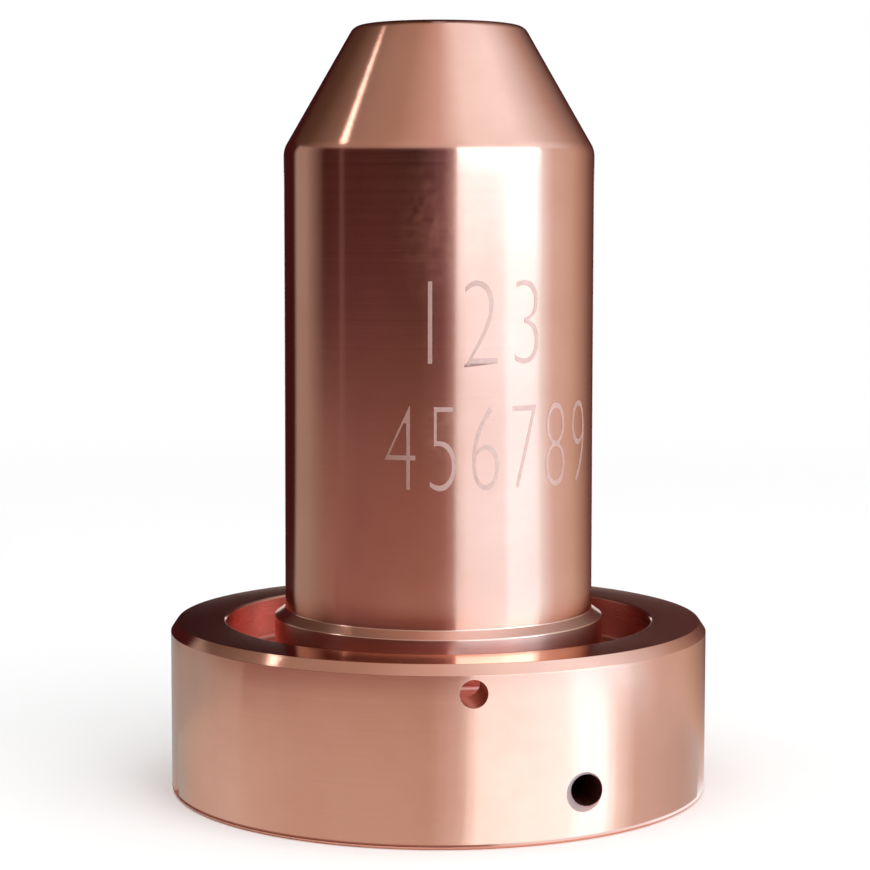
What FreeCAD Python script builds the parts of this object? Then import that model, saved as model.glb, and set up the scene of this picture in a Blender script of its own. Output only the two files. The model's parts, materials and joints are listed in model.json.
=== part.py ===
import FreeCAD, Part
import math
import os

# Plasma torch nozzle, in millimetres: one piece of copper bar, turned outside and inside, then drilled.
# It stands on the back face of its flange. +Z runs up the axis and out through the orifice, and the
# origin is the middle of the back face. The seen side is -Y, and angles are counted from there towards +X.

# Lengths along the axis, stacked from the back face up
FLANGE_THICKNESS = 5.68
BODY_LENGTH = 15.68

# Outside diameters and the nose cone
FLANGE_DIAMETER = 18.0
BODY_DIAMETER = 10.33
TIP_DIAMETER = 5.63
NOSE_ANGLE = 60.0

# Collar at the root of the body
COLLAR_STEP = 0.355
COLLAR_RISE = 0.14
COLLAR_BEVEL_RISE = 0.24

# Groove in the front of the flange
GROOVE_OUTER_DIAMETER = 14.3
GROOVE_DEPTH = 1.45

# Edges and corners outside
RIM_CHAMFER_WIDTH = 0.22
RIM_CHAMFER_HEIGHT = 0.33
RIM_INNER_BREAK = 0.06
FOOT_BREAK = 0.09
GROOVE_CORNER_ROUND = 0.15
SHOULDER_ROUND = 0.8
TIP_ROUND = 0.42

# Metal left between the floor of the groove and the roof of the seat bore
WEB_THICKNESS = 1.19

# Bores, from the back face up
SEAT_DIAMETER = 13.6
SEAT_LEAD_IN = 0.3
CAVITY_DIAMETER = 7.2
CAVITY_LEAD_IN = 0.25
THROAT_ANGLE = 90.0
THROAT_ROUND = 0.8
ORIFICE_DIAMETER = 1.1
ORIFICE_LENGTH = 2.8
ORIFICE_ENTRY_ROUND = 0.3
ORIFICE_EXIT_BREAK = 0.06

# Upper row of gas holes: straight towards the axis, into the groove
VENT_DIAMETER = 0.88
VENT_COUNT = 2
VENT_FIRST_ANGLE = 6.9
VENT_TO_GROOVE_FLOOR = 0.12

# Lower row of gas holes, half-way up the seat bore: each leans off the axis, so that gas enters it swirling
SWIRL_DIAMETER = 1.0
SWIRL_COUNT = 3
SWIRL_FIRST_ANGLE = 30.9
SWIRL_LEAN = 20.0

# Cone that the centre drill leaves at the mouth of each lower hole
SWIRL_MOUTH_DIAMETER = 1.22
SWIRL_MOUTH_ANGLE = 60.0

# How far a drill runs past the surface that it starts or ends at
DRILL_OVERRUN = 1.0

# Sizes worked out from the ones above
flange_front = FLANGE_THICKNESS
groove_floor = flange_front - GROOVE_DEPTH
seat_roof = groove_floor - WEB_THICKNESS
collar_top = flange_front + COLLAR_RISE
shoulder = flange_front + BODY_LENGTH
nose_length = (BODY_DIAMETER - TIP_DIAMETER) / 2 / math.tan(math.radians(NOSE_ANGLE / 2))
tip = shoulder + nose_length
throat_end = tip - ORIFICE_LENGTH
throat_length = (CAVITY_DIAMETER - ORIFICE_DIAMETER) / 2 / math.tan(math.radians(THROAT_ANGLE / 2))
throat_start = throat_end - throat_length
collar_diameter = BODY_DIAMETER + 2 * COLLAR_STEP

AXIS = FreeCAD.Vector(0, 0, 1)
# A rounding stops short of this share of the shorter side beside its corner
LONGEST_SETBACK = 0.45


def corner(diameter, height, rounding=0.0):
    """One corner of the turned outline and the radius that rounds it."""
    return FreeCAD.Vector(diameter / 2, 0, height), rounding


def corner_arc(before, point, after, rounding):
    """Start, middle and end of the arc that rounds a corner between its two neighbours."""
    back = (before - point).normalize()
    ahead = (after - point).normalize()
    half_angle = back.getAngle(ahead) / 2
    shorter_side = min(before.distanceToPoint(point), after.distanceToPoint(point))
    setback = min(rounding / math.tan(half_angle), LONGEST_SETBACK * shorter_side)
    radius = setback * math.tan(half_angle)
    inward = (back + ahead).normalize()
    middle = point + inward * (radius / math.sin(half_angle) - radius)
    return point + back * setback, middle, point + ahead * setback


def rounded_outline(corners):
    """A closed face whose corners are rounded as each one asks."""
    points = [point for point, _ in corners]
    following = points[1:] + points[:1]
    arcs = []
    for index, (point, rounding) in enumerate(corners):
        arcs.append(corner_arc(points[index - 1], point, following[index], rounding))
    edges = []
    for index, (start, middle, end) in enumerate(arcs):
        previous_end = arcs[index - 1][2]
        edges.append(Part.LineSegment(previous_end, start).toShape())
        if corners[index][1] > 0:
            edges.append(Part.Arc(start, middle, end).toShape())
    return Part.Face(Part.Wire(edges))


def outside_corners():
    """The outside of the turned outline, from the back face up to the tip."""
    return [
        corner(FLANGE_DIAMETER - 2 * FOOT_BREAK, 0),
        corner(FLANGE_DIAMETER, FOOT_BREAK),
        corner(FLANGE_DIAMETER, flange_front - RIM_CHAMFER_HEIGHT),
        corner(FLANGE_DIAMETER - 2 * RIM_CHAMFER_WIDTH, flange_front),
        corner(GROOVE_OUTER_DIAMETER + 2 * RIM_INNER_BREAK, flange_front),
        corner(GROOVE_OUTER_DIAMETER, flange_front - RIM_INNER_BREAK),
        corner(GROOVE_OUTER_DIAMETER, groove_floor, GROOVE_CORNER_ROUND),
        corner(collar_diameter, groove_floor, GROOVE_CORNER_ROUND),
        corner(collar_diameter, collar_top),
        corner(BODY_DIAMETER, collar_top + COLLAR_BEVEL_RISE),
        corner(BODY_DIAMETER, shoulder, SHOULDER_ROUND),
        corner(TIP_DIAMETER, tip, TIP_ROUND),
    ]


def inside_corners():
    """The bores of the turned outline, from the tip back down to the back face."""
    return [
        corner(ORIFICE_DIAMETER + 2 * ORIFICE_EXIT_BREAK, tip),
        corner(ORIFICE_DIAMETER, tip - ORIFICE_EXIT_BREAK),
        corner(ORIFICE_DIAMETER, throat_end, ORIFICE_ENTRY_ROUND),
        corner(CAVITY_DIAMETER, throat_start, THROAT_ROUND),
        corner(CAVITY_DIAMETER, seat_roof + CAVITY_LEAD_IN),
        corner(CAVITY_DIAMETER + 2 * CAVITY_LEAD_IN, seat_roof),
        corner(SEAT_DIAMETER, seat_roof),
        corner(SEAT_DIAMETER, SEAT_LEAD_IN),
        corner(SEAT_DIAMETER + 2 * SEAT_LEAD_IN, 0),
    ]


def turned_blank():
    """The piece as it leaves the lathe, with its bores and no cross holes."""
    outline = rounded_outline(outside_corners() + inside_corners())
    return outline.revolve(FreeCAD.Vector(), AXIS, 360)


def radial_drill(diameter, height, inner_diameter):
    """A drill on the seen side that runs in towards the axis as far as the given diameter."""
    start = FLANGE_DIAMETER / 2 + DRILL_OVERRUN
    reach = start - inner_diameter / 2
    return Part.makeCylinder(
        diameter / 2, reach, FreeCAD.Vector(0, -start, height), FreeCAD.Vector(0, 1, 0)
    )


def leaning_line(height, lean):
    """Where a leaning hole enters the middle of the seen side, and the way that it runs from there."""
    turn = math.radians(lean)
    return FreeCAD.Vector(0, -FLANGE_DIAMETER / 2, height), FreeCAD.Vector(math.sin(turn), math.cos(turn), 0)


def leaning_drill(diameter, height, lean):
    """A drill that passes beside the axis and stops where it is nearest to it."""
    entry, along = leaning_line(height, lean)
    lead = DRILL_OVERRUN + diameter
    half_chord = FLANGE_DIAMETER / 2 * math.cos(math.radians(lean))
    return Part.makeCylinder(diameter / 2, lead + half_chord, entry - along * lead, along)


def centre_drill(diameter, mouth_diameter, mouth_angle, height, lean):
    """A cone on the line of a leaning hole, as wide as the mouth where that line enters."""
    entry, along = leaning_line(height, lean)
    flare = math.tan(math.radians(mouth_angle / 2))
    depth = (mouth_diameter - diameter) / 2 / flare
    widest = mouth_diameter / 2 + DRILL_OVERRUN * flare
    return Part.makeCone(widest, diameter / 2, DRILL_OVERRUN + depth, entry - along * DRILL_OVERRUN, along)


def ring_of(drill, count, first_angle):
    """The drill repeated evenly round the axis."""
    copies = []
    for index in range(count):
        copy = drill.copy()
        copy.rotate(FreeCAD.Vector(), AXIS, first_angle + index * 360 / count)
        copies.append(copy)
    return copies


def vent_drills():
    """The upper row stops half-way across the groove, so it leaves the collar whole."""
    groove_middle = (GROOVE_OUTER_DIAMETER + collar_diameter) / 2
    height = groove_floor + VENT_TO_GROOVE_FLOOR + VENT_DIAMETER / 2
    drill = radial_drill(VENT_DIAMETER, height, groove_middle)
    return ring_of(drill, VENT_COUNT, VENT_FIRST_ANGLE)


def swirl_drills():
    """The lower row and the cones at its mouths."""
    height = seat_roof / 2
    drill = leaning_drill(SWIRL_DIAMETER, height, SWIRL_LEAN)
    mouth = centre_drill(SWIRL_DIAMETER, SWIRL_MOUTH_DIAMETER, SWIRL_MOUTH_ANGLE, height, SWIRL_LEAN)
    tools = []
    for tool in (drill, mouth):
        tools.extend(ring_of(tool, SWIRL_COUNT, SWIRL_FIRST_ANGLE))
    return tools


def nozzle():
    """The finished piece."""
    return turned_blank().cut(vent_drills() + swirl_drills())


def single_solid(shape):
    """The one solid that a cut leaves, without its wrapper."""
    solids = shape.Solids
    assert len(solids) == 1, "the nozzle is one solid"
    return solids[0]


os.makedirs("parts", exist_ok=True)
piece = single_solid(nozzle())
piece.exportStep("parts/nozzle.step")
box = piece.optimalBoundingBox()
print("nozzle: height %.3f mm, width %.3f mm" % (box.ZLength, box.XLength))
print("volume %.2f mm3, %d faces, valid %s" % (piece.Volume, len(piece.Faces), piece.isValid()))
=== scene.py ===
import json
import math

import bmesh
import bpy
from mathutils import Matrix, Vector


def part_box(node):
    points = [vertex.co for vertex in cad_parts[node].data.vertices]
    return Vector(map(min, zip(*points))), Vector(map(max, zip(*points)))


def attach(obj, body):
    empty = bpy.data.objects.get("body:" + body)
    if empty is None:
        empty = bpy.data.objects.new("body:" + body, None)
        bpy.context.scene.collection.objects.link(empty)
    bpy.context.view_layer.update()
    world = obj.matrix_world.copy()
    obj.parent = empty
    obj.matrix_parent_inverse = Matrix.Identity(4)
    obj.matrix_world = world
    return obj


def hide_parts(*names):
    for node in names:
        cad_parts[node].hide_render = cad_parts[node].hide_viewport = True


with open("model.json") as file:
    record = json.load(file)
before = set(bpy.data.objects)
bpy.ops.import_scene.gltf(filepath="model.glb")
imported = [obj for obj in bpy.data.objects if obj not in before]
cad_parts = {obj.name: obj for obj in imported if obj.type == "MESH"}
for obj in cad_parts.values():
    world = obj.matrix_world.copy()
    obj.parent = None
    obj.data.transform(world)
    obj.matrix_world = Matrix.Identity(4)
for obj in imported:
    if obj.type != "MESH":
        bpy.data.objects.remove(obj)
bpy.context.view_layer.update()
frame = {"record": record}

# Sizes are written in millimetres, as in the part's own drawing, and built in metres
MM = 0.001

# Sizes that the frame gives
mounts = {mount["name"]: mount for mount in frame["record"]["mounts"]}
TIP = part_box("nozzle")[1].z / MM
FLANGE_RADIUS = mounts["flange_outside"]["dims"]["r_mm"]
FLANGE_FRONT = mounts["front_ring"]["pos_m"][2] / MM
SEAT_RADIUS = mounts["seat_bore"]["dims"]["r_mm"]
CAVITY_RADIUS = mounts["cavity_bore"]["dims"]["r_mm"]

# Outside of the turned outline
BODY_RADIUS = 5.165
TIP_RADIUS = 2.815
NOSE_HALF_ANGLE = math.radians(30)
COLLAR_RADIUS = 5.52
COLLAR_RISE = 0.14
COLLAR_BEVEL_RISE = 0.24
GROOVE_RADIUS = 7.15
GROOVE_DEPTH = 1.45
RIM_CHAMFER_WIDTH = 0.22
RIM_CHAMFER_HEIGHT = 0.33
RIM_INNER_BREAK = 0.06
FOOT_BREAK = 0.09
SHOULDER_ROUND = 0.8
TIP_ROUND = 0.42
GROOVE_CORNER_ROUND = 0.15

# Radius on edges that the drawing leaves sharp, so that they catch light as worn metal does
EDGE_ROUND = 0.03
COLLAR_EDGE_ROUND = 2 * EDGE_ROUND

# Inside of the turned outline
WEB_THICKNESS = 1.19
SEAT_LEAD_IN = 0.3
CAVITY_LEAD_IN = 0.25
THROAT_ROUND = 0.8
ORIFICE_RADIUS = 0.55
ORIFICE_LENGTH = 2.8
ORIFICE_ENTRY_ROUND = 0.3
ORIFICE_EXIT_BREAK = 0.06

# Upper row of gas holes, straight towards the axis
VENT_RADIUS = 0.44
VENT_COUNT = 2
VENT_FIRST_ANGLE = math.radians(6.9)
VENT_TO_GROOVE_FLOOR = 0.12

# Lower row of gas holes, each leaning off the axis, with a cone at its mouth
SWIRL_RADIUS = 0.5
SWIRL_COUNT = 3
SWIRL_FIRST_ANGLE = math.radians(30.9)
SWIRL_LEAN = math.radians(20)
SWIRL_MOUTH_RADIUS = 0.61
SWIRL_MOUTH_HALF_ANGLE = math.radians(30)

# How far outside the flange the cutters of each row start
VENT_OVERRUN = 1.0
SWIRL_OVERRUN = 2.0

# Heights worked out from the sizes above
groove_floor = FLANGE_FRONT - GROOVE_DEPTH
seat_roof = groove_floor - WEB_THICKNESS
collar_top = FLANGE_FRONT + COLLAR_RISE
shoulder = TIP - (BODY_RADIUS - TIP_RADIUS) / math.tan(NOSE_HALF_ANGLE)
throat_end = TIP - ORIFICE_LENGTH
throat_start = throat_end - (CAVITY_RADIUS - ORIFICE_RADIUS)

# Mesh fineness round the axis and round a drill.
SEGMENTS = 360
DRILL_SEGMENTS = 64
# Turn for each step of an arc, and length of a row on a straight. They keep the piece under 200,000 triangles
ARC_STEP = math.radians(7)
LONGEST_ROW = 0.8
# A rounding stops short of this share of the shorter side beside its corner
LONGEST_SETBACK = 0.45
# Edges that turn more than this are shaded sharp
SHARP_ANGLE = math.radians(35)

# Finishes, as material slots of the turned piece
TURNED, FACED, COLLARED, GROOVED, BORED, DRILLED, COUNTERSUNK = range(7)


def outline_corners():
    """Once round the section: each corner's radius, height and rounding, and the finish on the way to it."""
    return [
        (SEAT_RADIUS + SEAT_LEAD_IN, 0, EDGE_ROUND, BORED),
        (FLANGE_RADIUS - FOOT_BREAK, 0, EDGE_ROUND, FACED),
        (FLANGE_RADIUS, FOOT_BREAK, EDGE_ROUND, TURNED),
        (FLANGE_RADIUS, FLANGE_FRONT - RIM_CHAMFER_HEIGHT, EDGE_ROUND, TURNED),
        (FLANGE_RADIUS - RIM_CHAMFER_WIDTH, FLANGE_FRONT, EDGE_ROUND, TURNED),
        (GROOVE_RADIUS + RIM_INNER_BREAK, FLANGE_FRONT, EDGE_ROUND, FACED),
        (GROOVE_RADIUS, FLANGE_FRONT - RIM_INNER_BREAK, EDGE_ROUND, FACED),
        (GROOVE_RADIUS, groove_floor, GROOVE_CORNER_ROUND, GROOVED),
        (COLLAR_RADIUS, groove_floor, GROOVE_CORNER_ROUND, GROOVED),
        (COLLAR_RADIUS, collar_top, COLLAR_EDGE_ROUND, COLLARED),
        (BODY_RADIUS, collar_top + COLLAR_BEVEL_RISE, COLLAR_EDGE_ROUND, COLLARED),
        (BODY_RADIUS, shoulder, SHOULDER_ROUND, TURNED),
        (TIP_RADIUS, TIP, TIP_ROUND, TURNED),
        (ORIFICE_RADIUS + ORIFICE_EXIT_BREAK, TIP, EDGE_ROUND, FACED),
        (ORIFICE_RADIUS, TIP - ORIFICE_EXIT_BREAK, EDGE_ROUND, BORED),
        (ORIFICE_RADIUS, throat_end, ORIFICE_ENTRY_ROUND, BORED),
        (CAVITY_RADIUS, throat_start, THROAT_ROUND, BORED),
        (CAVITY_RADIUS, seat_roof + CAVITY_LEAD_IN, EDGE_ROUND, BORED),
        (CAVITY_RADIUS + CAVITY_LEAD_IN, seat_roof, EDGE_ROUND, BORED),
        (SEAT_RADIUS, seat_roof, EDGE_ROUND, BORED),
        (SEAT_RADIUS, SEAT_LEAD_IN, EDGE_ROUND, BORED),
    ]


def corner_points(before, corner, after, rounding):
    """The points of the arc that rounds one corner, limited by the shorter side beside it."""
    back = (before - corner).normalized()
    ahead = (after - corner).normalized()
    half_angle = back.angle(ahead) / 2
    shorter_side = min((before - corner).length, (after - corner).length)
    setback = min(rounding / math.tan(half_angle), LONGEST_SETBACK * shorter_side)
    radius = setback * math.tan(half_angle)
    centre = corner + (back + ahead).normalized() * radius / math.sin(half_angle)
    start = corner + back * setback - centre
    turn = math.pi - 2 * half_angle
    if back.x * ahead.y - back.y * ahead.x > 0:
        turn = -turn
    steps = max(2, math.ceil(abs(turn) / ARC_STEP))
    points = []
    for step in range(steps + 1):
        swing = Matrix.Rotation(turn * step / steps, 2)
        points.append(centre + swing @ start)
    return points


def outline_points():
    """The whole section as a closed list of points and finishes, with long straights cut into rows."""
    corners = outline_corners()
    places = [Vector((radius, height)) for radius, height, _, _ in corners]
    rounded = []
    for index, (_, _, rounding, _) in enumerate(corners):
        after = places[(index + 1) % len(places)]
        rounded.append(corner_points(places[index - 1], places[index], after, rounding))
    points = []
    finishes = []
    for index, arc in enumerate(rounded):
        start = rounded[index - 1][-1]
        rows = max(1, math.ceil((arc[0] - start).length / LONGEST_ROW))
        for row in range(1, rows):
            points.append(start.lerp(arc[0], row / rows))
        points.extend(arc)
        finish = corners[index][3]
        finishes.extend([finish] * (len(points) - len(finishes)))
    return points, finishes


def mesh_object(name, bm):
    """A smooth-shaded object from a bmesh in metres."""
    mesh = bpy.data.meshes.new(name)
    bm.to_mesh(mesh)
    bm.free()
    for polygon in mesh.polygons:
        polygon.use_smooth = True
    obj = bpy.data.objects.new(name, mesh)
    bpy.context.scene.collection.objects.link(obj)
    return obj


def turned_blank():
    """The section spun round the axis."""
    bm = bmesh.new()
    section, finishes = outline_points()
    rings = []
    for segment in range(SEGMENTS):
        angle = 2 * math.pi * segment / SEGMENTS
        across, along = math.cos(angle) * MM, math.sin(angle) * MM
        rings.append([bm.verts.new((p.x * across, p.x * along, p.y * MM)) for p in section])
    for segment, ring in enumerate(rings):
        following = rings[(segment + 1) % SEGMENTS]
        for index, finish in enumerate(finishes):
            face = bm.faces.new((ring[index - 1], following[index - 1], following[index], ring[index]))
            face.material_index = finish
    bmesh.ops.recalc_face_normals(bm, faces=bm.faces)
    return mesh_object("turned_nozzle", bm)


def drill(name, start, end, start_radius, end_radius, finish):
    """A round or coned cutter from one point to another, in millimetres."""
    bm = bmesh.new()
    start, end = Vector(start), Vector(end)
    way = end - start
    turn = Vector((0, 0, 1)).rotation_difference(way).to_matrix().to_4x4()
    bmesh.ops.create_cone(
        bm, cap_ends=True, segments=DRILL_SEGMENTS, radius1=start_radius, radius2=end_radius,
        depth=way.length, matrix=Matrix.Translation((start + end) / 2) @ turn,
    )
    bmesh.ops.transform(bm, matrix=Matrix.Scale(MM, 4), verts=bm.verts)
    for face in bm.faces:
        face.material_index = finish
    return mesh_object(name, bm)


def swung(point, angle):
    """A point on the seen side, turned round the axis towards +X."""
    return Matrix.Rotation(angle, 3, "Z") @ Vector(point)


def vent_drills():
    """The upper row, straight in towards the axis and half-way across the groove."""
    height = groove_floor + VENT_TO_GROOVE_FLOOR + VENT_RADIUS
    groove_middle = (GROOVE_RADIUS + COLLAR_RADIUS) / 2
    drills = []
    for index in range(VENT_COUNT):
        angle = VENT_FIRST_ANGLE + index * 2 * math.pi / VENT_COUNT
        outside = swung((0, -FLANGE_RADIUS - VENT_OVERRUN, height), angle)
        inside = swung((0, -groove_middle, height), angle)
        drills.append(drill(f"vent_drill_{index}", outside, inside, VENT_RADIUS, VENT_RADIUS, DRILLED))
    return drills


def swirl_drills():
    """The lower row, each leaning off the axis, with the cone that a centre drill leaves at its mouth."""
    entry = Vector((0, -FLANGE_RADIUS, seat_roof / 2))
    along = Vector((math.sin(SWIRL_LEAN), math.cos(SWIRL_LEAN), 0))
    half_chord = FLANGE_RADIUS * math.cos(SWIRL_LEAN)
    flare = math.tan(SWIRL_MOUTH_HALF_ANGLE)
    cone_depth = (SWIRL_MOUTH_RADIUS - SWIRL_RADIUS) / flare
    widest = SWIRL_MOUTH_RADIUS + SWIRL_OVERRUN * flare
    drills = []
    for index in range(SWIRL_COUNT):
        angle = SWIRL_FIRST_ANGLE + index * 2 * math.pi / SWIRL_COUNT
        outside = swung(entry - along * SWIRL_OVERRUN, angle)
        inside = swung(entry + along * half_chord, angle)
        cone_end = swung(entry + along * cone_depth, angle)
        drills.append(drill(f"swirl_drill_{index}", outside, inside, SWIRL_RADIUS, SWIRL_RADIUS, DRILLED))
        drills.append(drill(f"swirl_mouth_{index}", outside, cone_end, widest, SWIRL_RADIUS, COUNTERSUNK))
    return drills


def apply_modifiers(obj):
    """Replaces the mesh by the one that the modifiers make."""
    depsgraph = bpy.context.evaluated_depsgraph_get()
    mesh = bpy.data.meshes.new_from_object(obj.evaluated_get(depsgraph))
    obj.modifiers.clear()
    obj.data = mesh


def cut(obj, cutters):
    """Takes the cutters out of the object and throws them away."""
    for cutter in cutters:
        modifier = obj.modifiers.new(cutter.name, "BOOLEAN")
        modifier.operation = "DIFFERENCE"
        modifier.solver = "EXACT"
        modifier.material_mode = "INDEX"
        modifier.object = cutter
    apply_modifiers(obj)
    for cutter in cutters:
        bpy.data.objects.remove(cutter)


def sharpen_hole_edges(obj):
    """Shades smoothly except where a drilled wall meets a turned one."""
    obj.data.set_sharp_from_angle(angle=SHARP_ANGLE)
    modifier = obj.modifiers.new("weighted_normals", "WEIGHTED_NORMAL")
    modifier.keep_sharp = True
    apply_modifiers(obj)


class Nodes:
    """A short way to add and join the nodes of one material or world."""

    def __init__(self, owner):
        owner.use_nodes = True
        self.tree = owner.node_tree
        self.tree.nodes.clear()

    def add(self, kind, inputs=None, **settings):
        """A node with its settings, and its inputs joined to other nodes or set to values."""
        node = self.tree.nodes.new(kind)
        for name, value in settings.items():
            setattr(node, name, value)
        for name, value in (inputs or {}).items():
            socket = node.inputs[name]
            if isinstance(value, bpy.types.NodeSocket):
                self.tree.links.new(value, socket)
            else:
                socket.default_value = value
        return node

    def place(self):
        """Where a point is on the object, in metres."""
        return self.add("ShaderNodeTexCoord").outputs["Object"]

    def math(self, operation, first, second=0.0):
        return self.add("ShaderNodeMath", {0: first, 1: second}, operation=operation).outputs[0]

    def vector_math(self, operation, first, second):
        return self.add("ShaderNodeVectorMath", {0: first, 1: second}, operation=operation).outputs[0]

    def length(self, vector):
        return self.add("ShaderNodeVectorMath", {0: vector}, operation="LENGTH").outputs["Value"]

    def noise(self, place, scale, detail, roughness=0.5):
        """Noise through the object's space."""
        inputs = {"Vector": place, "Scale": scale, "Detail": detail, "Roughness": roughness}
        return self.add("ShaderNodeTexNoise", inputs).outputs[0]

    def remap(self, value, source=(0.0, 1.0), target=(0.0, 1.0), interpolation="LINEAR"):
        """The value carried from one range to another, and held at its ends."""
        inputs = {"Value": value, "From Min": source[0], "From Max": source[1], "To Min": target[0],
                  "To Max": target[1]}
        return self.add("ShaderNodeMapRange", inputs, interpolation_type=interpolation).outputs[0]

    def blend(self, share, first, second):
        """A colour between two others."""
        inputs = {0: share, 6: (*first, 1), 7: (*second, 1)}
        return self.add("ShaderNodeMix", inputs, data_type="RGBA").outputs[2]

    def bump(self, height, strength, distance, under=None):
        """A normal that follows the height, on top of another one if it is given."""
        inputs = {"Height": height, "Strength": strength, "Distance": distance}
        if under is not None:
            inputs["Normal"] = under
        return self.add("ShaderNodeBump", inputs).outputs[0]

    def surface(self, shader):
        self.add("ShaderNodeOutputMaterial", {"Surface": shader})


# Bare copper, and the tint that it keeps at a glancing angle, as linear colours
COPPER = (0.90, 0.50, 0.385)
COPPER_EDGE = (0.98, 0.86, 0.80, 1)
# Each finish, in the order of the slots: name, colour, roughness, and how far the highlights stretch. Some
# colours hold painted light, as noted beside them
FINISHES = (
    ("turned_copper", COPPER, 0.15, 0.90),
    ("faced_copper", COPPER, 0.12, 0.90),
    # Paler than the bare copper: a painted highlight on the collar and its bevel
    ("collar_copper_painted_highlight", (0.96, 0.61, 0.50), 0.24, 0.90),
    # Darker and redder than the bare copper: painted shade in the groove
    ("grooved_copper_painted_shade", (0.74, 0.34, 0.30), 0.28, 0.80),
    # Darker than the bare copper: painted shade inside the bores
    ("bored_copper_painted_shade", (0.80, 0.42, 0.33), 0.30, 0.80),
    # Darker and redder still: painted shade inside the gas holes
    ("drilled_copper_painted_shade", (0.64, 0.26, 0.21), 0.36, 0.0),
    # Pale: a painted highlight where light catches the cone at each gas hole's mouth
    ("countersunk_copper_painted_highlight", (0.97, 0.78, 0.73), 0.52, 0.0),
)
# The highlights stretch along the section, a quarter turn from the way round the axis
STRETCH_TURN = 0.25

# Tool rings: how close they lie, and what they do to the relief and the roughness
RING_SCALE = 9000.0
RING_BUMP = 0.16
RING_ROUGHNESS = 0.03

# Fine grain between the rings
GRAIN_SCALE = 3200.0
GRAIN_BUMP = 0.3
TOOL_RELIEF = 2e-6

# Clouds of tone: the noise levels that they run between, how much of them blends in, and what they keep of
# each channel of the colour
CLOUD_SCALE = 260.0
CLOUD_LEVELS = (0.40, 0.75)
CLOUD_BLEND = (0.0, 0.5)
CLOUD_TINT = (0.86, 0.76, 0.72)

# Where fingers have dulled the body: middle (x, y, z) and half-sizes, in millimetres
HANDLED = (
    ((0.1, -5.1, 18.8), (1.5, 3.0, 2.9)),
    ((0.0, -5.1, 12.3), (0.9, 3.0, 1.8)),
)
# A patch is full out to this share of its half-sizes and fades from there. It adds to the roughness
HANDLED_FULL = 0.3
HANDLED_ROUGHNESS = 0.13
# Its mottle: the scale of the fine noise, and the levels of noise and cloud together that it runs between
MOTTLE_SCALE = 3000.0
MOTTLE_LEVELS = (0.75, 1.45)


def tool_rings(n, place):
    """Fine rings that run round the axis and follow each other along the section."""
    x, y, z = n.add("ShaderNodeSeparateXYZ", {0: place}).outputs
    across = n.math("SQRT", n.math("ADD", n.math("MULTIPLY", x, x), n.math("MULTIPLY", y, y)))
    inputs = {"W": n.math("ADD", across, z), "Scale": RING_SCALE, "Detail": 3.0, "Roughness": 0.7}
    return n.add("ShaderNodeTexNoise", inputs, noise_dimensions="1D").outputs[0]


def handled_patches(n, place, cloud):
    """A mottled mask that is strongest in the middle of a handled patch and 0 away from it."""
    patches = 0.0
    for middle, half_sizes in HANDLED:
        offset = n.vector_math("SUBTRACT", place, [value * MM for value in middle])
        share = n.vector_math("DIVIDE", offset, [value * MM for value in half_sizes])
        patch = n.remap(n.length(share), source=(1.0, HANDLED_FULL))
        patches = n.math("MAXIMUM", patches, patch)
    fine = n.noise(place, MOTTLE_SCALE, detail=3.0, roughness=0.6)
    mottle = n.remap(n.math("ADD", fine, cloud), source=MOTTLE_LEVELS)
    return n.math("MULTIPLY", patches, mottle)


def copper(name, colour, roughness, stretch):
    """Copper off the lathe: tool rings, clouds of tone, handled patches and highlights along the section."""
    material = bpy.data.materials.new(name)
    n = Nodes(material)
    place = n.place()
    rings = tool_rings(n, place)
    cloud = n.noise(place, CLOUD_SCALE, detail=4.0, roughness=0.6)
    grain = n.noise(place, GRAIN_SCALE, detail=3.0)
    clouded = [level * kept for level, kept in zip(colour, CLOUD_TINT)]
    shade = n.blend(n.remap(cloud, CLOUD_LEVELS, CLOUD_BLEND), colour, clouded)
    ring_rough = n.remap(rings, target=(roughness - RING_ROUGHNESS, roughness + RING_ROUGHNESS))
    dulled = n.math("MULTIPLY", handled_patches(n, place, cloud), HANDLED_ROUGHNESS)
    ring_bump = n.bump(rings, RING_BUMP, TOOL_RELIEF)
    shader = n.add("ShaderNodeBsdfPrincipled", {
        "Base Color": shade,
        "Metallic": 1.0,
        "Roughness": n.math("ADD", ring_rough, dulled),
        "Specular Tint": COPPER_EDGE,
        "Anisotropic": stretch,
        "Anisotropic Rotation": STRETCH_TURN,
        "Tangent": n.add("ShaderNodeTangent", direction_type="RADIAL", axis="Z").outputs[0],
        "Normal": n.bump(grain, GRAIN_BUMP, TOOL_RELIEF, ring_bump),
    })
    n.surface(shader.outputs[0])
    return material


# Laser-marked figures: how far they stand proud of the body and reach into it, in millimetres
MARK_PROUD = 0.006
MARK_ROOT = 0.02
# Width of the strips that a row is cut into so that it bends round the body
MARK_STRIP = 0.12
# What comes off each side of a stroke and how near two points are one, in the font's own units, then the
# spacing of its characters and the steps of its curves
MARK_STROKE_TRIM = 0.026
MARK_SAME_POINT = 1e-5
MARK_SPACING = 1.12
MARK_CURVE_STEPS = 6
# Each row: characters, first and last place round the body, bottom and top
MARKS = (
    ("123", -0.34, 3.40, 14.42, 17.15),
    ("456789", -1.72, 6.01, 10.52, 13.21),
)
# Between pulses of the laser the metal runs from one tone to the other
MARK_TONES = ((0.80, 0.52, 0.44), (0.66, 0.38, 0.31))
MARK_ROUGHNESS = 0.62
PULSE_SCALE = 7000.0
PULSE_BUMP = 0.5
PULSE_RELIEF = 5e-6


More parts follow.
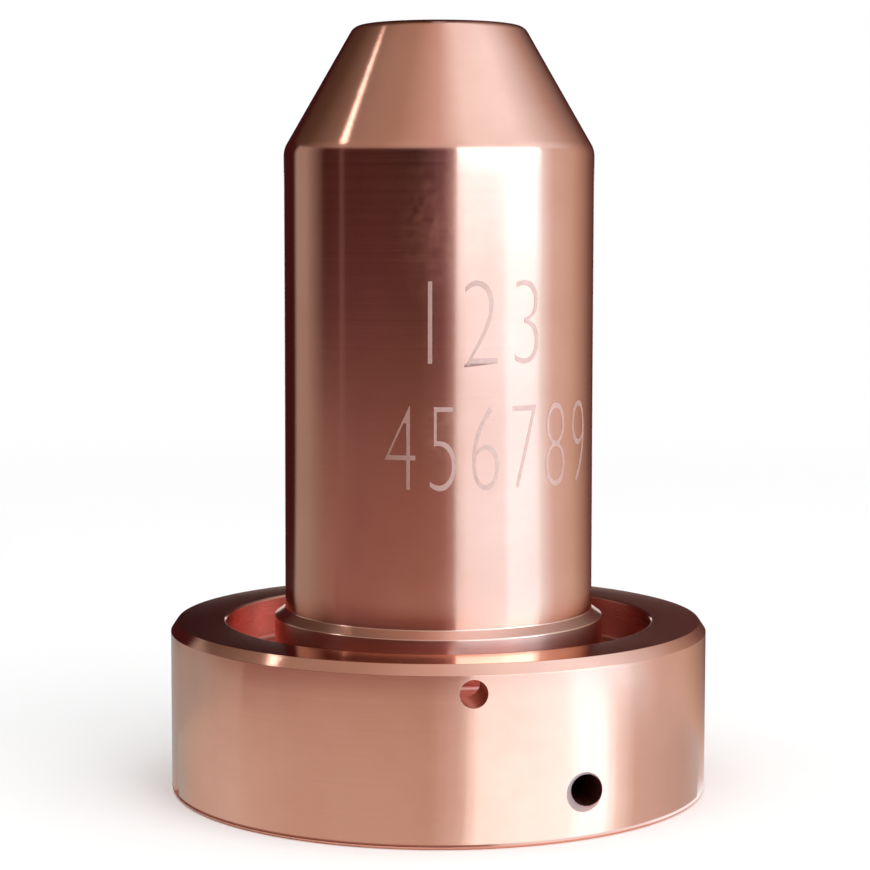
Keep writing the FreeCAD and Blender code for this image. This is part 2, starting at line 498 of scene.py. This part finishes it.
def flat_row(name, characters):
    """The characters as a flat mesh in the font's own units."""
    curve = bpy.data.curves.new(name, "FONT")
    curve.body = characters
    curve.offset = -MARK_STROKE_TRIM
    curve.space_character = MARK_SPACING
    curve.resolution_u = MARK_CURVE_STEPS
    source = bpy.data.objects.new(name, curve)
    bpy.context.scene.collection.objects.link(source)
    mesh = bpy.data.meshes.new_from_object(source.evaluated_get(bpy.context.evaluated_depsgraph_get()))
    bm = bmesh.new()
    bm.from_mesh(mesh)
    bpy.data.objects.remove(source)
    bpy.data.curves.remove(curve)
    bpy.data.meshes.remove(mesh)
    bmesh.ops.remove_doubles(bm, verts=bm.verts, dist=MARK_SAME_POINT)
    return bm


def fit_row(bm, first, last, bottom, top):
    """Stretches the flat characters to their place, in millimetres round the body and up it."""
    left, right = min(v.co.x for v in bm.verts), max(v.co.x for v in bm.verts)
    low, high = min(v.co.y for v in bm.verts), max(v.co.y for v in bm.verts)
    for vert in bm.verts:
        vert.co.x = first + (vert.co.x - left) / (right - left) * (last - first)
        vert.co.y = bottom + (vert.co.y - low) / (high - low) * (top - bottom)


def cut_into_strips(bm, first, last):
    """Cuts the flat characters at even steps, so that they can bend."""
    for step in range(1, int((last - first) / MARK_STRIP) + 1):
        everything = bm.verts[:] + bm.edges[:] + bm.faces[:]
        place = (first + step * MARK_STRIP, 0, 0)
        bmesh.ops.bisect_plane(bm, geom=everything, plane_co=place, plane_no=(1, 0, 0))


def mark_row(name, characters, first, last, bottom, top):
    """One row of laser-marked figures, wrapped round the body and sunk a little into it."""
    bm = flat_row(name, characters)
    fit_row(bm, first, last, bottom, top)
    cut_into_strips(bm, first, last)
    raised = bmesh.ops.extrude_face_region(bm, geom=bm.faces[:], use_keep_orig=True)["geom"]
    outer = {item for item in raised if isinstance(item, bmesh.types.BMVert)}
    for vert in bm.verts:
        radius = BODY_RADIUS + (MARK_PROUD if vert in outer else -MARK_ROOT)
        angle = vert.co.x / BODY_RADIUS
        vert.co = (radius * math.sin(angle) * MM, -radius * math.cos(angle) * MM, vert.co.y * MM)
    bmesh.ops.recalc_face_normals(bm, faces=bm.faces)
    row = mesh_object(name, bm)
    row.data.set_sharp_from_angle(angle=SHARP_ANGLE)
    return row


def marked_copper():
    """The pale, matt copper that a laser leaves, a little uneven from pulse to pulse."""
    material = bpy.data.materials.new("marked_copper")
    n = Nodes(material)
    pulses = n.noise(n.place(), PULSE_SCALE, detail=2.0)
    shader = n.add("ShaderNodeBsdfPrincipled", {
        "Base Color": n.blend(pulses, *MARK_TONES),
        "Metallic": 1.0,
        "Roughness": MARK_ROUGHNESS,
        "Specular Tint": COPPER_EDGE,
        "Normal": n.bump(pulses, PULSE_BUMP, PULSE_RELIEF),
    })
    n.surface(shader.outputs[0])
    return material


# The set is in metres. Directions from the object are azimuths and elevations in degrees, and azimuths are
# counted from the seen side towards +X

# Paper: its tone for the light that it sends on, and for the camera and the reflections
PAPER_TONE = 0.80
PAPER_WHITE = 1.05
# It fades to plain white between these distances
WHITE_FROM = 0.03
WHITE_BY = 0.15

# The round sheet of paper: it lies flat and curves up to a low wall
FLOOR_RADIUS = 0.45
COVE_RADIUS = 0.08
COVE_HEIGHT = 0.14
COVE_STEPS = 12
COVE_SEGMENTS = 96


def pale_paper():
    """White paper. Seen directly or in the metal it fades to plain white away from the object's shadow."""
    material = bpy.data.materials.new("pale_paper")
    n = Nodes(material)
    path = n.add("ShaderNodeLightPath").outputs
    in_view = n.math("MAXIMUM", path["Is Camera Ray"], path["Is Glossy Ray"])
    seen = n.math("MAXIMUM", in_view, path["Is Transmission Ray"])
    tone = n.remap(seen, target=(PAPER_TONE, PAPER_WHITE))
    colour = n.add("ShaderNodeCombineColor", {0: tone, 1: tone, 2: tone}).outputs[0]
    matt = n.add("ShaderNodeBsdfDiffuse", {"Color": colour}).outputs[0]
    white = n.add("ShaderNodeEmission", {"Color": (1, 1, 1, 1), "Strength": 1.0}).outputs[0]
    away = n.remap(n.length(n.place()), source=(WHITE_FROM, WHITE_BY), interpolation="SMOOTHSTEP")
    both = n.add("ShaderNodeMixShader", {0: n.math("MULTIPLY", seen, away), 1: matt, 2: white})
    n.surface(both.outputs[0])
    return material


def cove_line():
    """The section of the paper from its middle outwards, as distances and heights."""
    line = [(0.0, 0.0), (FLOOR_RADIUS - COVE_RADIUS, 0.0)]
    for step in range(1, COVE_STEPS + 1):
        angle = math.pi / 2 * step / COVE_STEPS
        rise = COVE_RADIUS * (1 - math.cos(angle))
        line.append((FLOOR_RADIUS - COVE_RADIUS * (1 - math.sin(angle)), rise))
    line.append((FLOOR_RADIUS, COVE_HEIGHT))
    return line


def paper_cove():
    """A round sheet that lies flat under the object and curves up to a low wall all round it."""
    bm = bmesh.new()
    centre = bm.verts.new((0, 0, 0))
    around = cove_line()[1:]
    rings = []
    for segment in range(COVE_SEGMENTS):
        angle = 2 * math.pi * segment / COVE_SEGMENTS
        rings.append([bm.verts.new((r * math.cos(angle), r * math.sin(angle), z)) for r, z in around])
    for segment, ring in enumerate(rings):
        following = rings[(segment + 1) % len(rings)]
        bm.faces.new((centre, ring[0], following[0]))
        for index in range(1, len(ring)):
            bm.faces.new((ring[index - 1], ring[index], following[index], following[index - 1]))
    cove = mesh_object("paper_cove", bm)
    cove.data.materials.append(pale_paper())


# Cards that only reflections show. They give the metal its dark, grey and bright bands

# Degrees between two columns of a card's points, and how near two points of neighbouring columns are one
CARD_STEP = 2
CARD_SAME_POINT = 1e-6
# Distances: where the floor's cards start, how far each of them reaches, and where the upright ones stand
CARD_FOOT = (FLANGE_RADIUS + 0.05) * MM
FLOOR_REACH = 0.029
EDGE_REACH = 0.037
GROUND_REACH = 0.195
WINDOW_PLACE = 0.23
WALL_PLACE = 0.24
# Heights where the upright cards begin and end
WINDOW_SILL = 0.020
HEADER_FOOT = 0.026
SKY_FOOT = 0.040
WALL_TOP = 0.095
# The roof as distances and heights. Two cards have its slope, and one of them runs on to its top
ROOF_SLOPE = ((WALL_PLACE, WALL_TOP), (0.20, 0.20), (0.10, 0.29))
ROOF_TOP = (0.03, 0.31)
# Cards on the floor lie over each other in this order, each at its number of layers above the paper
LAYER = 0.00005
WALL_LAYER = 1
GROUND_LAYER = 2
EDGE_LAYER = 2.5
FLOOR_LAYER = 3

# What each card shows round the object: azimuth, and the level of red, green and blue there
SHADE = (0.05, 0.012, 0.014)
DEEP_SHADE = (0.02, 0.003, 0.006)
# Floor and wall in one: dark on the left and in front, with two grey strips, and bright on the right
WALL_STOPS = (
    (-166, SHADE), (-134, SHADE), (-128, (0.38, 0.37, 0.35)), (-114, (0.37, 0.34, 0.31)), (-92, SHADE),
    (-78, SHADE), (-75, (0.14, 0.08, 0.09)), (-71, SHADE), (-48, SHADE), (-14, DEEP_SHADE),
    (3, (0.11, 0.05, 0.08)), (10, (0.40, 0.32, 0.36)), (13, (0.80, 0.90, 1.00)), (20, (1.00, 1.22, 1.42)),
    (47, (1.02, 1.32, 1.60)), (51, (1.30, 1.70, 2.10)), (74, (1.30, 1.70, 2.10)), (79, (0.95, 1.30, 1.50)),
    (85, (0.88, 1.00, 1.10)), (91, (0.76, 0.76, 0.78)), (112, (0.64, 0.60, 0.55)), (122, (0.52, 0.46, 0.40)),
    (145, (0.22, 0.14, 0.13)), (166, SHADE),
)
# Lighter floor on the left, for the foot of the body
GROUND_STOPS = (
    (-112, (0.37, 0.34, 0.31)), (-98, (0.33, 0.26, 0.23)), (-88, (0.33, 0.21, 0.19)),
    (-60, (0.30, 0.17, 0.16)), (-14, (0.33, 0.18, 0.15)), (3, (0.34, 0.20, 0.17)), (9, (0.41, 0.28, 0.26)),
)
# Pale floor behind the left, for the flange's outer edge
EDGE_STOPS = ((-176, (0.40, 0.40, 0.39)), (-106, (0.42, 0.48, 0.49)), (-78, (0.48, 0.45, 0.41)))
# A window on the right, and brighter sky above it
WINDOW_STOPS = (
    (13, (0.85, 0.95, 1.05)), (20, (1.05, 1.25, 1.55)), (40, (1.2, 1.45, 1.8)), (50, (1.6, 2.1, 2.5)),
    (74, (1.6, 2.1, 2.5)), (80, (1.0, 1.4, 1.6)), (84, (0.9, 1.05, 1.15)),
)
SKY_STOPS = (
    (13, (2.8, 4.0, 4.8)), (48, (3.4, 4.6, 5.4)), (52, (4.0, 5.4, 6.4)), (72, (4.0, 5.4, 6.4)),
    (80, (1.6, 2.0, 2.3)),
)
# The roof, for the nose cone: dim on the left and bright on the right. Behind the object it runs down darker
OVERHEAD_STOPS = (
    (-166, SHADE), (-127, (0.10, 0.07, 0.05)), (-80, (0.38, 0.31, 0.27)), (-45, (0.43, 0.34, 0.29)),
    (0, (0.70, 0.62, 0.60)), (31, (1.02, 1.16, 1.26)), (80, (1.10, 1.34, 1.52)), (101, (0.82, 0.94, 1.02)),
    (125, (0.50, 0.43, 0.41)), (149, (0.18, 0.15, 0.14)), (166, SHADE),
)
HEADER_STOPS = ((166, (0.10, 0.05, 0.05)), (194, (0.015, 0.004, 0.004)))
# Floor for the flange. These places are counted round the flange, whose reflections carry them further round
FLOOR_STOPS = (
    (-72, (0.42, 0.56, 0.60)), (-62, (0.56, 0.58, 0.56)), (-45, (0.66, 0.64, 0.60)),
    (-30, (0.60, 0.53, 0.48)), (-2, (0.60, 0.52, 0.46)), (4, (0.80, 0.80, 0.80)), (7.5, (1.35, 1.62, 1.76)),
    (26, (1.50, 1.84, 2.10)), (29, (1.80, 2.30, 2.70)), (34, (1.80, 2.30, 2.70)), (38, (1.05, 1.22, 1.30)),
    (43, (0.72, 0.70, 0.70)), (60, (0.58, 0.58, 0.58)), (72, (0.57, 0.68, 0.74)),
)


def glow(name):
    """A surface that shows its own tone as plain light, whatever falls on it."""
    material = bpy.data.materials.new(name)
    n = Nodes(material)
    tone = n.add("ShaderNodeVertexColor", layer_name="tone").outputs["Color"]
    shader = n.add("ShaderNodeEmission", {"Color": tone, "Strength": 1.0})
    n.surface(shader.outputs[0])
    return material


def bearing(azimuth, elevation=0.0):
    """A direction from the object."""
    a, e = math.radians(azimuth), math.radians(elevation)
    return Vector((math.sin(a) * math.cos(e), -math.cos(a) * math.cos(e), math.sin(e)))


def card(name, stops, edge):
    """A card that only reflections show. It runs through its stops, each a place in degrees and a tone."""
    bm = bmesh.new()
    layer = bm.verts.layers.float_color.new("tone")
    columns = []
    for (start, first), (end, last) in zip(stops, stops[1:]):
        steps = max(1, math.ceil((end - start) / CARD_STEP))
        for step in range(steps + 1):
            share = step / steps
            column = [bm.verts.new(point) for point in edge(start + (end - start) * share)]
            for vert in column:
                vert[layer] = (*Vector(first).lerp(Vector(last), share), 1)
            columns.append(column)
    for near, far in zip(columns, columns[1:]):
        for index in range(1, len(near)):
            if (near[index].co - far[index].co).length > CARD_SAME_POINT:
                bm.faces.new((near[index - 1], far[index - 1], far[index], near[index]))
    sheet = mesh_object(name, bm)
    sheet.data.materials.append(glow(name))
    sheet.visible_camera = False
    sheet.visible_diffuse = False
    sheet.visible_shadow = False


def standing(*section):
    """How a card stands round the object: its section of distances and heights, set up at any azimuth."""
    def edge(azimuth):
        return [bearing(azimuth) * distance + Vector((0, 0, height)) for distance, height in section]
    return edge


def lying(layer, reach):
    """The section of a card that lies on the floor and starts at the flange's foot."""
    return (CARD_FOOT, layer * LAYER), (reach, layer * LAYER)


def floor_edge(place):
    """A line on the floor, from the flange's foot along the way that it reflects there to the camera."""
    side = math.radians(place)
    across = FLANGE_RADIUS * math.sin(side)
    sight = math.atan2(across, CAMERA_DISTANCE - FLANGE_RADIUS * math.cos(side))
    foot = bearing(place) * CARD_FOOT + Vector((0, 0, FLOOR_LAYER * LAYER))
    return [foot, foot + bearing(2 * place + math.degrees(sight)) * FLOOR_REACH * math.cos(side)]


def cards():
    """Cards on the floor, round the object and over it, for the metal to reflect."""
    card("wall_card", WALL_STOPS, standing(*lying(WALL_LAYER, WALL_PLACE), (WALL_PLACE, WALL_TOP)))
    card("ground_card", GROUND_STOPS, standing(*lying(GROUND_LAYER, GROUND_REACH)))
    card("edge_card", EDGE_STOPS, standing(*lying(EDGE_LAYER, EDGE_REACH)))
    card("window_card", WINDOW_STOPS, standing((WINDOW_PLACE, WINDOW_SILL), (WINDOW_PLACE, SKY_FOOT)))
    card("sky_card", SKY_STOPS, standing((WINDOW_PLACE, SKY_FOOT), (WINDOW_PLACE, WALL_TOP)))
    card("overhead_card", OVERHEAD_STOPS, standing(*ROOF_SLOPE, ROOF_TOP))
    card("header_card", HEADER_STOPS, standing((WALL_PLACE, HEADER_FOOT), *ROOF_SLOPE))
    card("floor_card", FLOOR_STOPS, floor_edge)


# Lamps: name, azimuth, elevation, distance, size and radiance. The soft ones light the paper, and in the
# metal bright cards take their place
SOFT_LAMPS = (
    ("key", 48, 25, 0.34, 0.34, 1.3),
    ("top_lamp", 0, 80, 0.34, 0.42, 1.3),
)
SMALL_LAMP = ("small_lamp", -90, 41, 0.35, 0.020, 42.0)
WORLD_LEVEL = 0.45
MIDDLE_HEIGHT = TIP / 2 * MM


def square_lamp(name, azimuth, elevation, distance, size, radiance):
    """A flat lamp that faces the object, as bright as its radiance says."""
    data = bpy.data.lights.new(name, "AREA")
    data.shape = "SQUARE"
    data.size = size
    data.energy = radiance * math.pi * size * size
    lamp = bpy.data.objects.new(name, data)
    way = bearing(azimuth, elevation)
    lamp.location = Vector((0, 0, MIDDLE_HEIGHT)) + way * distance
    lamp.rotation_euler = way.to_track_quat("Z", "Y").to_euler()
    lamp.visible_camera = False
    bpy.context.scene.collection.objects.link(lamp)
    return lamp


def lamps():
    """Two soft lamps that the metal doesn't show, and a small one that it does."""
    for values in SOFT_LAMPS:
        square_lamp(*values).visible_glossy = False
    square_lamp(*SMALL_LAMP)


def plain_world():
    """An even, pale grey all round."""
    world = bpy.data.worlds.new("studio_air")
    bpy.context.scene.world = world
    n = Nodes(world)
    grey = (WORLD_LEVEL, WORLD_LEVEL, WORLD_LEVEL, 1)
    background = n.add("ShaderNodeBackground", {"Color": grey, "Strength": 1.0})
    n.add("ShaderNodeOutputWorld", {"Surface": background.outputs[0]})


# Camera, fitted to the outlines in the photograph. Its place is in millimetres and its clip range in metres
CAMERA_DISTANCE = 78.98
CAMERA_HEIGHT = 18.845
CAMERA_PITCH = math.radians(5.07)
CAMERA_YAW = math.radians(-0.088)
CAMERA_ROLL = math.radians(0.081)
CAMERA_LENS = 97.55
CAMERA_SENSOR = 36.0
CAMERA_CLIP = (0.001, 10.0)


def camera():
    """The camera, in front of the seen side and looking a little down."""
    data = bpy.data.cameras.new("camera")
    data.lens = CAMERA_LENS
    data.sensor_width = CAMERA_SENSOR
    data.clip_start, data.clip_end = CAMERA_CLIP
    obj = bpy.data.objects.new("camera", data)
    level = Matrix.Rotation(-CAMERA_YAW, 4, "Z") @ Matrix.Rotation(math.pi / 2 - CAMERA_PITCH, 4, "X")
    place = Matrix.Translation((0, -CAMERA_DISTANCE * MM, CAMERA_HEIGHT * MM))
    obj.matrix_world = place @ level @ Matrix.Rotation(CAMERA_ROLL, 4, "Z")
    bpy.context.scene.collection.objects.link(obj)
    bpy.context.scene.camera = obj


def dressed_nozzle():
    """The turned piece with its gas holes and finishes, in place of the CAD solid; the colours of some
    finishes hold painted shade and painted highlights.
    """
    nozzle = turned_blank()
    for finish in FINISHES:
        nozzle.data.materials.append(copper(*finish))
    cut(nozzle, vent_drills() + swirl_drills())
    sharpen_hole_edges(nozzle)
    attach(nozzle, "root")
    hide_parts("nozzle")


def counting_marks():
    """The rows of figures on the body."""
    laser_tone = marked_copper()
    for index, row in enumerate(MARKS):
        mark = mark_row(f"counting_marks_{index}", *row)
        mark.data.materials.append(laser_tone)
        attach(mark, "root")


dressed_nozzle()
counting_marks()
paper_cove()
cards()
lamps()
plain_world()
camera()
bpy.context.scene.view_settings.view_transform = "Standard"
